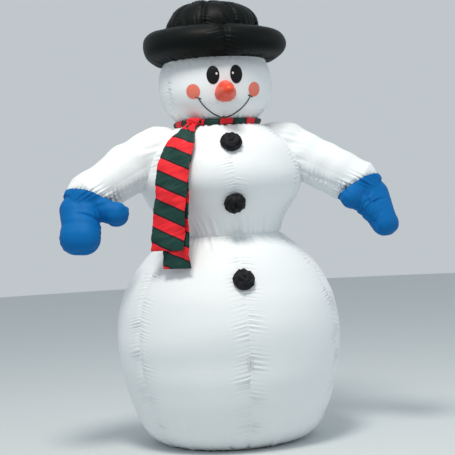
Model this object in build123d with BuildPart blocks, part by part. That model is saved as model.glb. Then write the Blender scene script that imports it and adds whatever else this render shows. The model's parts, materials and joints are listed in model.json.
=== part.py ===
from build123d import *
import os
from math import asin, cos, degrees, radians, sin, sqrt, tan

# Inflatable yard snowman, millimetres. It stands on the ground at the origin, +Z up, and faces -Y,
# so its own left hand is at +X. The skin is sewn nylon held out by a fan in the back of the ball.

os.makedirs("parts", exist_ok=True)

# ---------------------------------------------------------------- driving dimensions
SKIN = 1.5              # coated nylon with its seam allowance
SEAM_GAP = 0.06         # degrees left between neighbouring gores, where the thread runs
CLEAR = 0.4             # gap kept between pieces of different moving bodies
FRONT = -90             # azimuth of the figure's front, degrees from +X
BACK = 90

BALL_R = 620
BALL_Z = 600            # height of the ball's centre
FLANK_R = 1120          # radius of the flatter lower flank
FOOT_Z = 140            # where the flank starts to turn in to the base
BASE_R = 372
PANEL = 2               # base panel and stake tabs
GORES = 6

WAIST_R = 305
BAFFLE = 1.5
WAIST_Z = BALL_Z + sqrt(BALL_R**2 - WAIST_R**2)
CHEST_R = 455
CHEST_Z = 1450
NECK_R = 197
NECK_Z = 1745

HEAD_R = 315
HAT_R = 283             # radius of the head where the hat is sewn on
HAT_Z = 2100
BRIM_R = 400
BRIM_Z = 2188
CROWN_R = 262
CROWN_Z = 2273
TOP_Z = 2440
CROWN_GORES = 9
FACE_ARC = 65           # head seams stand this many degrees either side of the face

SHOULDER = Vector(300, 0, 1625)
WRIST = Vector(765, -160, 1378)
SLEEVE_R = 125
ARM_SWAY = 10           # degrees each way about the shoulder
ARMHOLE_R = 128         # the armhole widens outwards by the arm's sway
ARMHOLE_DEPTH = 260
SLEEVE_START = 36       # the sleeve's inner hem, from the shoulder centre
CUFF_NORMAL = Vector(0.40, -0.35, -0.85)

BUTTON_R = 60
BUTTON_H = 44

SCARF_AZIMUTH = FRONT - 40   # the knot and tails hang at the figure's right front
TAIL_T = 3
TAIL_W = 200

BLOWER_Z = 205
HOUSING_R = 80
HOUSING_WALL = 6
HOUSING_FRONT = 430
HOUSING_REAR = 606
SHAFT_R = 4

ZIP_LOW = 8             # elevation of the zip's ends about the ball's centre, degrees
ZIP_HIGH = 42
TETHER_AZIMUTH = 50     # degrees from +X, and its mirror image
STAKE_AZIMUTH = 45

ON_PLANE = (Align.CENTER, Align.CENTER, Align.MIN)   # a solid that stands on its plane


# ---------------------------------------------------------------- helpers
def meridian(azimuth):
    """Upright plane through the figure's axis: local x runs outwards, local y runs up."""
    a = radians(azimuth)
    return Plane(origin=(0, 0, 0), x_dir=(cos(a), sin(a), 0), z_dir=(sin(a), -cos(a), 0))


def on_skin(azimuth, height, radius, elevation=0):
    """Plane on the figure's skin: its normal points out at an elevation, local y runs up."""
    a = radians(azimuth)
    e = radians(elevation)
    return Plane(origin=(radius * cos(a), radius * sin(a), height),
                 x_dir=(-sin(a), cos(a), 0),
                 z_dir=(cos(a) * cos(e), sin(a) * cos(e), sin(e)))


def arc_chain(start, heading, *ends):
    """Arcs through the given points, each running smoothly into the next; heading in degrees."""
    tangent = (cos(radians(heading)), sin(radians(heading)))
    for end in ends:
        arc = TangentArc(start, end, tangent=tangent)
        start, tangent = arc @ 1, arc % 1


def ball_outline():
    """From the waist down to the base seam: an arc, then short straight cuts down the flank."""
    top = degrees(asin((WAIST_Z - BALL_Z) / BALL_R))
    CenterArc((0, BALL_Z), BALL_R, top, -top)
    flank = []
    for step in range(6):
        drop = (BALL_Z - FOOT_Z) * step / 5
        flank.append((BALL_R - FLANK_R + sqrt(FLANK_R**2 - drop**2), BALL_Z - drop))
    Polyline(*flank, (490, 83), (440, 32), (BASE_R, PANEL))


def torso_outline():
    """From the neck down to the waist, in short straight cuts from mark to mark of the pattern."""
    Polyline((NECK_R, NECK_Z), (250, 1736), (300, 1709), (350, 1672), (400, 1612), (436, 1540),
             (CHEST_R, CHEST_Z), (446, 1400), (424, 1352), (385, 1287), (345, 1225),
             (WAIST_R, WAIST_Z + BAFFLE))


def head_outline():
    """From the hat down to the neck."""
    arc_chain((HAT_R, HAT_Z), -65, (HEAD_R, 1970), (293, 1855), (240, 1795),
              (NECK_R, NECK_Z + BAFFLE))


def brim_outline():
    """From the crown out round the brim and back in to the head."""
    arc_chain((CROWN_R, CROWN_Z - 1), 4, (340, 2266), (BRIM_R, BRIM_Z), (342, 2108),
              (HAT_R, HAT_Z + BAFFLE))


def crown_outline():
    """From the top of the hat down to the brim."""
    arc_chain((0, TOP_Z), 0, (170, 2415), (235, 2360), (CROWN_R, CROWN_Z))


def disc(radius, low, thick):
    """Flat round panel across the figure's axis."""
    with BuildSketch(Plane.XY.offset(low)) as face:
        Circle(radius)
    extrude(face.sketch, amount=thick)


def save(builder, name):
    builder.part.label = name
    export_step(builder.part, f"parts/{name}.step")


def save_group(solids, name):
    """Separate solids that share one node."""
    group = Compound(solids)
    group.label = name
    export_step(group, f"parts/{name}.step")


def shell_panel(outline, azimuth, arc):
    """One sewn panel: the outline's skin turned through arc degrees from azimuth."""
    with BuildPart() as panel:
        with BuildSketch(meridian(azimuth)):
            with BuildLine():
                outline()
                offset(amount=SKIN, side=Side.RIGHT)
            make_face()
        revolve(axis=Axis.Z, revolution_arc=arc - SEAM_GAP)
    return panel.solid()


def ring(outline, first, count):
    """Equal sewn panels all the way round the figure's axis, the first seam at azimuth first."""
    arc = 360 / count
    return [shell_panel(outline, first + i * arc, arc) for i in range(count)]


# ---------------------------------------------------------------- ball, torso, head and hat skins
HOUSING_AXIS = Plane(origin=(0, HOUSING_FRONT, BLOWER_Z), x_dir=(1, 0, 0), z_dir=(0, 1, 0))
COLLAR_R = HOUSING_R + 2

with BuildPart() as base_panel:
    disc(BASE_R, 0, PANEL)
save(base_panel, "base_panel")

lower_ball_gores = []
for gore in ring(ball_outline, FRONT, GORES):
    with BuildPart() as ball_gore:
        add(gore)
        with BuildSketch(HOUSING_AXIS):
            Circle(COLLAR_R)
        extrude(amount=200, mode=Mode.SUBTRACT)
    lower_ball_gores += ball_gore.solids()
save_group(lower_ball_gores, "lower_ball_gores")


def baffle(name, radius, low, hole_r, hole_circle, holes, centre_r):
    """Inner panel that holds a crease in, with air holes round it."""
    with BuildPart() as panel:
        disc(radius, low, BAFFLE)
        with BuildSketch(Plane.XY.offset(low)):
            if centre_r:
                Circle(centre_r)
            with PolarLocations(hole_circle, holes):
                Circle(hole_r)
        extrude(amount=BAFFLE, mode=Mode.SUBTRACT)
    save(panel, name)


baffle("waist_baffle", WAIST_R, WAIST_Z, 45, 190, 6, 35)
baffle("neck_baffle", NECK_R, NECK_Z, 32, 115, 5, 35)
baffle("hat_baffle", HAT_R, HAT_Z, 40, 170, 6, 0)

ARM_AXIS = (WRIST - SHOULDER).normalized()
ARM_LENGTH = (WRIST - SHOULDER).length


def mirrored_x(vector, side):
    return Vector(side * vector.X, vector.Y, vector.Z)


def arm_plane(side):
    """Plane across a sleeve at the shoulder, its normal along the arm."""
    return Plane(origin=mirrored_x(SHOULDER, side), z_dir=mirrored_x(ARM_AXIS, side))


ARMHOLE_RIM = ARMHOLE_R + ARMHOLE_DEPTH * tan(radians(ARM_SWAY + 2))
torso_gores = ring(torso_outline, FRONT, GORES)
for side, index in ((1, 1), (-1, 4)):
    with BuildPart() as side_gore:
        add(torso_gores[index])
        with Locations(arm_plane(side)):
            Cone(ARMHOLE_R, ARMHOLE_RIM, ARMHOLE_DEPTH,
                 align=ON_PLANE, mode=Mode.SUBTRACT)
    torso_gores[index] = side_gore.solid()
save_group(torso_gores, "torso_gores")

head_panels = [
    shell_panel(head_outline, FRONT - FACE_ARC, 2 * FACE_ARC),
    shell_panel(head_outline, FRONT + FACE_ARC, 180 - FACE_ARC),
    shell_panel(head_outline, BACK, 180 - FACE_ARC),
]
save_group(head_panels, "head_panels")
save_group(ring(brim_outline, FRONT, 2), "hat_brim")
save_group(ring(crown_outline, FRONT + 180 / CROWN_GORES, CROWN_GORES), "hat_crown")


# ---------------------------------------------------------------- face
EYE_Z = 2000
EYE_TURN = 11.6         # degrees round the head from the front
EYE_W = 66
EYE_H = 95
CHEEK_R = 38
CHEEK_TURN = 32.5
CHEEK_Z = 1920
CHEEK_REACH = 314
CHEEK_TILT = -14
PATCH = 1.2             # a sewn-on patch
NOSE_R = 53
NOSE_L = 150
NOSE_Z = 1910
NOSE_ROOT = 18          # how far the nose's base reaches in through the face
MOUTH_W = 7
MOUTH_X = 142
MOUTH_END_Y = 277
MOUTH_END_Z = 1880
MOUTH_LOW_Y = 236
MOUTH_LOW_Z = 1780


def oval_patch(name, seat, width, height, low):
    """Oval piece sewn on the face, its back at distance low from the seat."""
    with BuildPart() as patch:
        with BuildSketch(seat.offset(low)) as oval:
            Ellipse(width / 2, height / 2)
        extrude(oval.sketch, amount=PATCH)
    save(patch, name)


for side, name in ((1, "left"), (-1, "right")):
    oval_patch(f"{name}_eye", on_skin(FRONT + side * EYE_TURN, EYE_Z, HEAD_R), EYE_W, EYE_H, 0.5)
    cheek_seat = on_skin(FRONT + side * CHEEK_TURN, CHEEK_Z, CHEEK_REACH, CHEEK_TILT)
    oval_patch(f"{name}_cheek", cheek_seat, 2 * CHEEK_R, 2 * CHEEK_R, 0.5)

with BuildPart() as eye_highlights:
    for side in (1, -1):
        seat = on_skin(FRONT + side * EYE_TURN, EYE_Z, HEAD_R)
        with BuildSketch(seat.offset(0.5 + PATCH)):
            with Locations((-side * 20, 6)):
                Circle(7)
    extrude(amount=PATCH)
save(eye_highlights, "eye_highlights")

TICK_L = 25

with BuildPart() as mouth_line:
    with BuildLine() as smile:
        ThreePointArc((-MOUTH_X, -MOUTH_END_Y, MOUTH_END_Z), (0, -MOUTH_LOW_Y, MOUTH_LOW_Z),
                      (MOUTH_X, -MOUTH_END_Y, MOUTH_END_Z))
    with BuildSketch(smile.line ^ 0):
        Circle(MOUTH_W / 2)
    sweep()
    for side in (1, -1):
        end = Plane(origin=(side * MOUTH_X, -MOUTH_END_Y, MOUTH_END_Z),
                    x_dir=(0.8, side * 0.5, side * 0.4), z_dir=(side * 0.5, -0.8, 0))
        with Locations(end):
            Box(TICK_L, MOUTH_W, MOUTH_W - 1)
save(mouth_line, "mouth_line")


def nose_outline(inset):
    """Half of the nose's section, from its blunt tip back to its base inside the face."""
    base = HEAD_R - NOSE_ROOT
    tip = base + NOSE_L - inset
    rim = NOSE_R - inset
    blunt = (0.32 * rim, tip - 0.1 * NOSE_L)
    arc_chain((0, tip), 0, blunt)
    Polyline(blunt, (rim, base), (0, base), (0, tip))


nose_section = Plane(origin=(0, 0, NOSE_Z), x_dir=(1, 0, 0), z_dir=(0, 0, -1))
nose_axis = Axis((0, 0, NOSE_Z), (0, -1, 0))
with BuildPart() as nose_cone:
    for inset, mode in ((0, Mode.ADD), (SKIN, Mode.SUBTRACT)):
        with BuildSketch(nose_section) as half:
            with BuildLine():
                nose_outline(inset)
            make_face()
        revolve(half.sketch, axis=nose_axis, mode=mode)
save(nose_cone, "nose_cone")


# ---------------------------------------------------------------- buttons
def puff_outline(inset):
    """Half section of a gathered puff, from its crest out to its rim and back along its base."""
    rim = BUTTON_R - inset
    crest = BUTTON_H - inset
    arc_chain((0, crest), 0, (0.8 * rim, 0.6 * crest), (rim, inset))
    Polyline((rim, inset), (0, inset), (0, crest))


def puff_button(name, height, radius, tilt):
    """Puff on the front seam, its base just clear of the skin."""
    seat = on_skin(FRONT, height, radius + 0.5, tilt)
    section = Plane(origin=seat.origin, x_dir=seat.x_dir, z_dir=-seat.y_dir)
    with BuildPart() as button:
        for inset, mode in ((0, Mode.ADD), (SKIN, Mode.SUBTRACT)):
            with BuildSketch(section) as half:
                with BuildLine():
                    puff_outline(inset)
                make_face()
            revolve(half.sketch, axis=Axis(seat.origin, seat.z_dir), mode=mode)
    save(button, name)


puff_button("top_button", 1630, 386, 38)
puff_button("middle_button", 1315, 403, -31)
puff_button("bottom_button", 909, sqrt(BALL_R**2 - 309**2), 30)


# ---------------------------------------------------------------- sleeves and mittens
HAND_REACH = Vector(78, -115, -205)    # from the wrist to the middle of the fingertips
THUMB_REACH = Vector(-115, -110, -78)   # from the wrist to the middle of the thumb's tip
THUMB_R = 66
PALM_R = 86
PALM_SPREAD = 20         # each way across the hand, so that it is wider than it is thick
CUFF_L = 180


def capsule(start, end, radius):
    """Rounded bar between two points."""
    along = end - start
    with Locations(Plane(origin=start, z_dir=along)):
        Cylinder(radius, along.length, align=ON_PLANE)
    with Locations(start, end):
        Sphere(radius)


def mitten(inset):
    """The left mitten's outside, or its inside at a given inset, before the cuff is cut."""
    finger = WRIST + HAND_REACH
    across = THUMB_REACH.cross(HAND_REACH).normalized()
    spread = HAND_REACH.normalized().cross(across) * PALM_SPREAD
    with BuildPart() as hand:
        capsule(WRIST, finger, PALM_R - inset)
        capsule(WRIST, finger + spread, PALM_R - inset)
        capsule(WRIST, finger - spread, PALM_R - inset)
        capsule(WRIST, WRIST + THUMB_REACH, THUMB_R - inset)
        with Locations(Plane(origin=WRIST, z_dir=ARM_AXIS)):
            Cylinder(SLEEVE_R - inset, CUFF_L)
    return hand.part


cuff = Plane(origin=WRIST, z_dir=CUFF_NORMAL)
with BuildPart() as left_sleeve:
    with BuildSketch(arm_plane(1).offset(SLEEVE_START)) as hem:
        Circle(SLEEVE_R)
        Circle(SLEEVE_R - SKIN, mode=Mode.SUBTRACT)
    extrude(hem.sketch, amount=ARM_LENGTH + CUFF_L)
    split(bisect_by=cuff, keep=Keep.BOTTOM)
save(left_sleeve, "left_sleeve")

with BuildPart() as left_mitten:
    add(mitten(0))
    add(mitten(SKIN), mode=Mode.SUBTRACT)
    split(bisect_by=cuff, keep=Keep.TOP)
save(left_mitten, "left_mitten")

for left, name in ((left_sleeve, "right_sleeve"), (left_mitten, "right_mitten")):
    with BuildPart() as right:
        mirror(left.part, about=Plane.YZ)
    save(right, name)


# ---------------------------------------------------------------- scarf
KNOT_REACH = 236
SCARF_R = 16
SCARF_Z = NECK_Z + 13

with BuildPart() as scarf_wrap:
    with Locations((0, 0, SCARF_Z)):
        Torus(NECK_R + SCARF_R + 19, SCARF_R)
save(scarf_wrap, "scarf_wrap")

KNOT_PLANE = on_skin(SCARF_AZIMUTH, SCARF_Z + 6, KNOT_REACH + 18)
with BuildPart() as scarf_knot:
    with Locations(KNOT_PLANE):
        Box(84, 46, 40)
    fillet(scarf_knot.edges(), 17)
save(scarf_knot, "scarf_knot")


def scarf_tail(name, drop, width, back, aside):
    """Flat tail hanging from the knot over the shoulder towards the ball, its lower end set aside."""
    root = (KNOT_REACH + 42 - back, SCARF_Z - 4 - back)
    with BuildPart() as tail:
        with BuildSketch(meridian(SCARF_AZIMUTH)) as edge_on:
            with BuildLine():
                arc_chain(root, -30, (440 - back, 1600), (505 - back, 1400), (552 - back, drop))
                offset(amount=TAIL_T, side=Side.LEFT)
            make_face()
        extrude(edge_on.sketch, amount=width / 2, both=True)
        with BuildSketch(on_skin(SCARF_AZIMUTH, 0, 0)) as outline:
            Polygon((aside - width / 2, drop - 30), (aside + width / 2, drop - 30), (width / 2, 1560),
                    (38, SCARF_Z + 40), (-38, SCARF_Z + 40), (-width / 2, 1500), align=None)
        extrude(outline.sketch, amount=700, mode=Mode.INTERSECT)
    save(tail, name)


scarf_tail("scarf_front_tail", 1080, TAIL_W, 0, -18)
scarf_tail("scarf_rear_tail", 985, TAIL_W - 50, 7, 26)


# ---------------------------------------------------------------- fan in the back of the ball
HOUSING_BORE = HOUSING_R - HOUSING_WALL
COLLAR_FRONT = 510
COLLAR_REAR = 596
CLAMP_FRONT = 583
CLAMP_W = 11
GRILLE_T = 3
GUARD_T = 3
MOTOR_R = 30
MOTOR_FRONT = 500
MOTOR_REAR = 566
SPIDER_Y = 540
IMPELLER_FRONT = 455
IMPELLER_REAR = 488
HUB_R = 22
BLADE_TIP_R = HOUSING_BORE - 3
BLADES = 7
SCREW_CIRCLE = HOUSING_R - HOUSING_WALL / 2


def fan_plane(y):
    """Plane across the fan, its normal towards the back."""
    return Plane(origin=(0, y, BLOWER_Z), x_dir=(1, 0, 0), z_dir=(0, 1, 0))


def tube(outer, inner, start, end):
    with BuildSketch(fan_plane(start)) as section:
        Circle(outer)
        Circle(inner, mode=Mode.SUBTRACT)
    extrude(section.sketch, amount=end - start)


with BuildPart() as blower_collar:
    tube(COLLAR_R, HOUSING_R, COLLAR_FRONT, COLLAR_REAR)
save(blower_collar, "blower_collar")

with BuildPart() as collar_clamp_band:
    tube(COLLAR_R + 2, COLLAR_R, CLAMP_FRONT, CLAMP_FRONT + CLAMP_W)
    with Locations((0, CLAMP_FRONT + CLAMP_W / 2, BLOWER_Z + COLLAR_R + 5)):
        Box(24, CLAMP_W, 7)
save(collar_clamp_band, "collar_clamp_band")

with BuildPart() as blower_housing:
    tube(HOUSING_R, HOUSING_BORE, HOUSING_FRONT + GUARD_T, HOUSING_REAR)
    with BuildSketch(fan_plane(HOUSING_REAR)) as screw_holes:
        with PolarLocations(SCREW_CIRCLE, 4, 45):
            Circle(1.5)
    extrude(screw_holes.sketch, amount=-14, mode=Mode.SUBTRACT)
save(blower_housing, "blower_housing")


def fan_grille(y, thick, screws):
    """Round guard of rings and spokes."""
    with BuildSketch(fan_plane(y)) as face:
        Circle(HOUSING_R)
        Circle(HOUSING_BORE - 4, mode=Mode.SUBTRACT)
        for radius in (14, 28, 42, 56):
            Circle(radius + 1.5)
            Circle(radius - 1.5, mode=Mode.SUBTRACT)
        with PolarLocations(HOUSING_R / 2 + 5, 6):
            Rectangle(HOUSING_R - 20, 3)
        if screws:
            with PolarLocations(SCREW_CIRCLE, 4, 45):
                Circle(1.5, mode=Mode.SUBTRACT)
    extrude(face.sketch, amount=thick)


with BuildPart() as inlet_grille:
    fan_grille(HOUSING_REAR, GRILLE_T, True)
save(inlet_grille, "inlet_grille")

with BuildPart() as outlet_guard:
    fan_grille(HOUSING_FRONT, GUARD_T, False)
save(outlet_guard, "outlet_guard")

with BuildPart() as grille_screws:
    with BuildSketch(fan_plane(HOUSING_REAR - 13)) as shanks:
        with PolarLocations(SCREW_CIRCLE, 4, 45):
            Circle(1.5)
    extrude(shanks.sketch, amount=13 + GRILLE_T)
    with BuildSketch(fan_plane(HOUSING_REAR + GRILLE_T)) as heads:
        with PolarLocations(SCREW_CIRCLE, 4, 45):
            Circle(2.9)
    extrude(heads.sketch, amount=2)
save(grille_screws, "grille_screws")

with BuildPart() as motor_can:
    tube(MOTOR_R, SHAFT_R + 0.05, MOTOR_FRONT, MOTOR_REAR)
    with BuildSketch(fan_plane(MOTOR_REAR)) as end_cap:
        Circle(MOTOR_R)
    extrude(end_cap.sketch, amount=4)
save(motor_can, "motor_can")

with BuildPart() as motor_spider:
    with BuildSketch(fan_plane(SPIDER_Y)) as arms:
        with PolarLocations((MOTOR_R + HOUSING_BORE) / 2, 4):
            Rectangle(HOUSING_BORE - MOTOR_R + 6, 6)
        Circle(MOTOR_R, mode=Mode.SUBTRACT)
        with BuildSketch(mode=Mode.INTERSECT):
            Circle(HOUSING_BORE)
    extrude(arms.sketch, amount=12)
save(motor_spider, "motor_spider")

with BuildPart() as motor_shaft:
    with BuildSketch(fan_plane(IMPELLER_FRONT)) as shaft:
        Circle(SHAFT_R)
    extrude(shaft.sketch, amount=MOTOR_REAR - 6 - IMPELLER_FRONT)
save(motor_shaft, "motor_shaft")

with BuildPart() as impeller:
    tube(HUB_R, SHAFT_R, IMPELLER_FRONT, IMPELLER_REAR)
    reach = BLADE_TIP_R - HUB_R + 2
    with Locations(fan_plane((IMPELLER_FRONT + IMPELLER_REAR) / 2)):
        with PolarLocations(HUB_R - 2 + reach / 2, BLADES):
            with Locations(Location((0, 0, 0), (35, 0, 0))):
                Box(reach, 2.5, 30)
    with BuildSketch(fan_plane(IMPELLER_FRONT - 8)) as bore:
        Circle(SHAFT_R)
    extrude(bore.sketch, amount=60, mode=Mode.SUBTRACT)
save(impeller, "impeller")

with BuildPart() as cord_gland:
    with Locations(Plane(origin=(0, HOUSING_REAR - 5, BLOWER_Z - HOUSING_R), z_dir=(0, 0, -1))):
        Cylinder(4, 12, align=ON_PLANE)
        with Locations((0, 0, 12)):
            Cylinder(3, 14, align=ON_PLANE)
save(cord_gland, "cord_gland")


# ---------------------------------------------------------------- deflation zip up the back seam
TAPE_W = 14
TAPE_T = 1.2
TOOTH_PITCH = 8
TEETH_R = BALL_R + 0.5
TEETH_W = 6
TEETH_T = 2.2
SLIDER_W = 15
SLIDER_L = 22
SLIDER_T = 2
SLIDER_ANGLE = ZIP_HIGH - 1.2   # where the slider's middle is parked, degrees
CHEEK_W = 2             # the slider's side walls
PULL_L = 42
PULL_W = 6.4
BAIL_R = BALL_R + 13


def seam_plane(elevation, radius=0):
    """Plane across the back seam at an elevation about the ball's centre: x across, y outwards."""
    e = radians(elevation)
    return Plane(origin=(0, radius * cos(e), BALL_Z + radius * sin(e)), x_dir=(-1, 0, 0),
                 z_dir=(0, -sin(e), cos(e)))


def seam_band(low, high, boxes):
    """Bands along the seam, each given as its near and far side and its inner and outer radius."""
    for left, right, inner, outer in boxes:
        with BuildSketch(seam_plane(low)) as section:
            Polygon((left, inner), (right, inner), (right, outer), (left, outer), align=None)
        revolve(section.sketch, axis=Axis((0, 0, BALL_Z), (1, 0, 0)), revolution_arc=high - low)


TAPE_IN = BALL_R + 0.6
with BuildPart() as zipper_tapes:
    seam_band(ZIP_LOW, ZIP_HIGH, ((TEETH_W / 2, TAPE_W, TAPE_IN, TAPE_IN + TAPE_T),
                                  (-TAPE_W, -TEETH_W / 2, TAPE_IN, TAPE_IN + TAPE_T)))
save(zipper_tapes, "zipper_tapes")

tooth_step = degrees(TOOTH_PITCH / BALL_R)
zip_teeth = int((ZIP_HIGH - ZIP_LOW - 1) / tooth_step)
with BuildPart() as zipper_teeth:
    for i in range(zip_teeth):
        lean = 1 if i % 2 else -1
        with Locations(seam_plane(ZIP_LOW + 0.8 + i * tooth_step, TEETH_R + TEETH_T / 2)):
            with Locations((lean * 0.6, 0, 0)):
                Box(TEETH_W, TEETH_T, TOOTH_PITCH * 0.6)
save(zipper_teeth, "zipper_teeth")

with BuildPart() as zipper_stops:
    for elevation in (ZIP_LOW - 0.5, ZIP_HIGH + 0.6):
        with Locations(seam_plane(elevation, TEETH_R + 2)):
            Box(2 * TAPE_W, 4, 6)
save(zipper_stops, "zipper_stops")

tape_top = TAPE_IN + TAPE_T + CLEAR
plate_low = TEETH_R + TEETH_T + CLEAR
wall_x = (SLIDER_W - CHEEK_W) / 2
post_x = PULL_W / 2 + 1.4
with BuildPart() as zip_slider:
    with Locations(seam_plane(SLIDER_ANGLE, plate_low + SLIDER_T / 2)):
        Box(SLIDER_W, SLIDER_T, SLIDER_L)
    with Locations(seam_plane(SLIDER_ANGLE, (tape_top + plate_low + SLIDER_T) / 2)):
        with Locations((wall_x, 0, 0), (-wall_x, 0, 0)):
            Box(CHEEK_W, plate_low + SLIDER_T - tape_top, SLIDER_L)
    with Locations(seam_plane(SLIDER_ANGLE, (plate_low + BAIL_R + 2) / 2)):
        with Locations((post_x, 0, 0), (-post_x, 0, 0)):
            Box(CHEEK_W, BAIL_R + 2 - plate_low, 8)
    with Locations(seam_plane(SLIDER_ANGLE, BAIL_R)):
        with Locations(Location((0, 0, 0), (0, 90, 0))):
            Cylinder(1.1, 2 * post_x)
save(zip_slider, "zip_slider")

with BuildPart() as zip_pull:
    with Locations(seam_plane(SLIDER_ANGLE, BAIL_R)):
        with Locations(Location((0, 0, 0), (0, 90, 0))):
            Cylinder(2.6, PULL_W)
        with Locations((0, 0, -PULL_L / 2 - 1)):
            Box(PULL_W, 2, PULL_L)
        with Locations(Location((0, 0, 0), (0, 90, 0))):
            Cylinder(1.25, 2 * PULL_W, mode=Mode.SUBTRACT)
save(zip_pull, "zip_pull")


# ---------------------------------------------------------------- lights hung inside
STRAP_W = 20
STRAP_T = 1.5
LEAD_R = 2.5
LEAD_Y = STRAP_T / 2 + LEAD_R
LAMP_HEIGHTS = (620, 1420, 1930)
SOCKET_R = 13
SOCKET_L = 34
BULB_R = 22
CAGE_R = 40
POUCH_R = 200
POUCH_T = 25

with BuildPart() as base_weight_pouch:
    disc(POUCH_R, PANEL, POUCH_T)
    fillet(base_weight_pouch.edges().group_by(Axis.Z)[-1], 10)
save(base_weight_pouch, "base_weight_pouch")

strap_low = PANEL + POUCH_T
with BuildPart() as light_hanger_strap:
    with Locations((0, 0, strap_low)):
        Box(STRAP_W, STRAP_T, HAT_Z - strap_low, align=ON_PLANE)
save(light_hanger_strap, "light_hanger_strap")

SOCKET_Y = LEAD_Y + LEAD_R
BULB_Y = SOCKET_Y + SOCKET_L + BULB_R


def lamp_plane(height, y):
    return Plane(origin=(0, y, height), x_dir=(1, 0, 0), z_dir=(0, 1, 0))


with BuildPart() as lamp_sockets:
    for height in LAMP_HEIGHTS:
        with Locations(lamp_plane(height, SOCKET_Y)):
            Cylinder(SOCKET_R, SOCKET_L, align=ON_PLANE)
save(lamp_sockets, "lamp_sockets")

with BuildPart() as lamp_bulbs:
    for height in LAMP_HEIGHTS:
        with Locations(lamp_plane(height, BULB_Y)):
            Sphere(BULB_R)
    with BuildSketch(lamp_plane(0, SOCKET_Y + SOCKET_L)) as behind:
        Rectangle(100, 2 * TOP_Z)
    extrude(behind.sketch, amount=-20, mode=Mode.SUBTRACT)
save(lamp_bulbs, "lamp_bulbs")

CAGE_PLATE = 2.0
CAGE_ROD_R = 1.5
CAGE_BACK = SOCKET_Y + SOCKET_L - 16
CAGE_DEPTH = 2 * CAGE_R + 10

with BuildPart() as lamp_cages:
    for height in LAMP_HEIGHTS:
        with Locations(lamp_plane(height, CAGE_BACK)):
            Cylinder(CAGE_R + 3, CAGE_PLATE, align=ON_PLANE)
            Cylinder(SOCKET_R, CAGE_PLATE, align=ON_PLANE, mode=Mode.SUBTRACT)
            with PolarLocations(CAGE_R, 6):
                Cylinder(CAGE_ROD_R, CAGE_DEPTH, align=ON_PLANE)
        with Locations(lamp_plane(height, CAGE_BACK + CAGE_DEPTH)):
            Cylinder(CAGE_R + 3, CAGE_PLATE, align=ON_PLANE)
            Cylinder(CAGE_R - 3, CAGE_PLATE, align=ON_PLANE, mode=Mode.SUBTRACT)
            Box(2 * CAGE_R, 4, CAGE_PLATE, align=ON_PLANE)
save(lamp_cages, "lamp_cages")

lead_low = BLOWER_Z - HOUSING_R - LEAD_R
with BuildPart() as lamp_lead:
    with BuildLine() as route:
        FilletPolyline((0, 500, lead_low), (0, 330, lead_low), (0, 170, 60), (0, 60, 60),
                       (0, LEAD_Y, 130), (0, LEAD_Y, 1960), radius=[60, 60, 45, 45])
    with BuildSketch(route.line ^ 0) as section:
        Circle(LEAD_R)
    sweep(section.sketch)
save(lamp_lead, "lamp_lead")


# ---------------------------------------------------------------- hold-downs
STAKE_R = 505
TAB_END = 540
TAB_W = 60
GROMMET_BORE = 6
BARREL_R = 8
FLANGE_R = 13
GROMMET_H = 5

with BuildPart() as stake_tabs:
    with BuildSketch(Plane.XY) as tabs:
        with PolarLocations((BASE_R + TAB_END) / 2 - 10, 2, STAKE_AZIMUTH, 90, endpoint=True):
            Rectangle(TAB_END - BASE_R + 20, TAB_W)
        Circle(BASE_R, mode=Mode.SUBTRACT)
        with PolarLocations(STAKE_R, 2, STAKE_AZIMUTH, 90, endpoint=True):
            Circle(BARREL_R, mode=Mode.SUBTRACT)
    extrude(tabs.sketch, amount=PANEL)
save(stake_tabs, "stake_tabs")

with BuildPart() as stake_grommets:
    for low, high, radius in ((0, GROMMET_H, BARREL_R), (PANEL, GROMMET_H, FLANGE_R)):
        with BuildSketch(Plane.XY.offset(low)) as rings:
            with PolarLocations(STAKE_R, 2, STAKE_AZIMUTH, 90, endpoint=True):
                Circle(radius)
                Circle(GROMMET_BORE, mode=Mode.SUBTRACT)
        extrude(rings.sketch, amount=high - low)
save(stake_grommets, "stake_grommets")

TETHER_Z = 1450
LOOP_OUT = 12           # the loop's axis, out from the skin
LOOP_R = 5.5
LOOP_BORE = 3.2
LOOP_W = 26
RING_WIRE = 2.5
RING_R = 19

with BuildPart() as tether_tabs:
    for azimuth in (TETHER_AZIMUTH, 180 - TETHER_AZIMUTH):
        skin = on_skin(azimuth, TETHER_Z, CHEST_R + 0.5)
        with Locations(skin):
            with Locations((0, LOOP_BORE + 0.3, 0)):
                Box(LOOP_W, 42, LOOP_OUT, align=(Align.CENTER, Align.MIN, Align.MIN))
            with Locations(Location((0, 0, LOOP_OUT), (0, 90, 0))):
                Cylinder(LOOP_R, LOOP_W)
                Cylinder(LOOP_BORE, LOOP_W + 2, mode=Mode.SUBTRACT)
save(tether_tabs, "tether_tabs")

for name, azimuth in (("left", TETHER_AZIMUTH), ("right", 180 - TETHER_AZIMUTH)):
    hang = on_skin(azimuth, TETHER_Z, CHEST_R + 0.5 + LOOP_OUT)
    with BuildPart() as tether_ring:
        with BuildLine(hang) as ring_path:
            bar = Line((-RING_R, 0), (RING_R, 0))
            ThreePointArc(bar @ 1, (0, -RING_R), bar @ 0)
        with BuildSketch(Plane(origin=ring_path.line @ 0.1, z_dir=ring_path.line % 0.1)) as wire:
            Circle(RING_WIRE)
        sweep(wire.sketch, path=ring_path.line, transition=Transition.ROUND)
    save(tether_ring, f"{name}_tether_ring")
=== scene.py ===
"""Looks of the inflatable yard snowman, built round its CAD frame.

Lengths are in metres, +Z is up and the snowman faces -Y.
"""

import json
import math

import bmesh
import bpy
import numpy as np
from mathutils import Matrix, Vector


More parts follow.
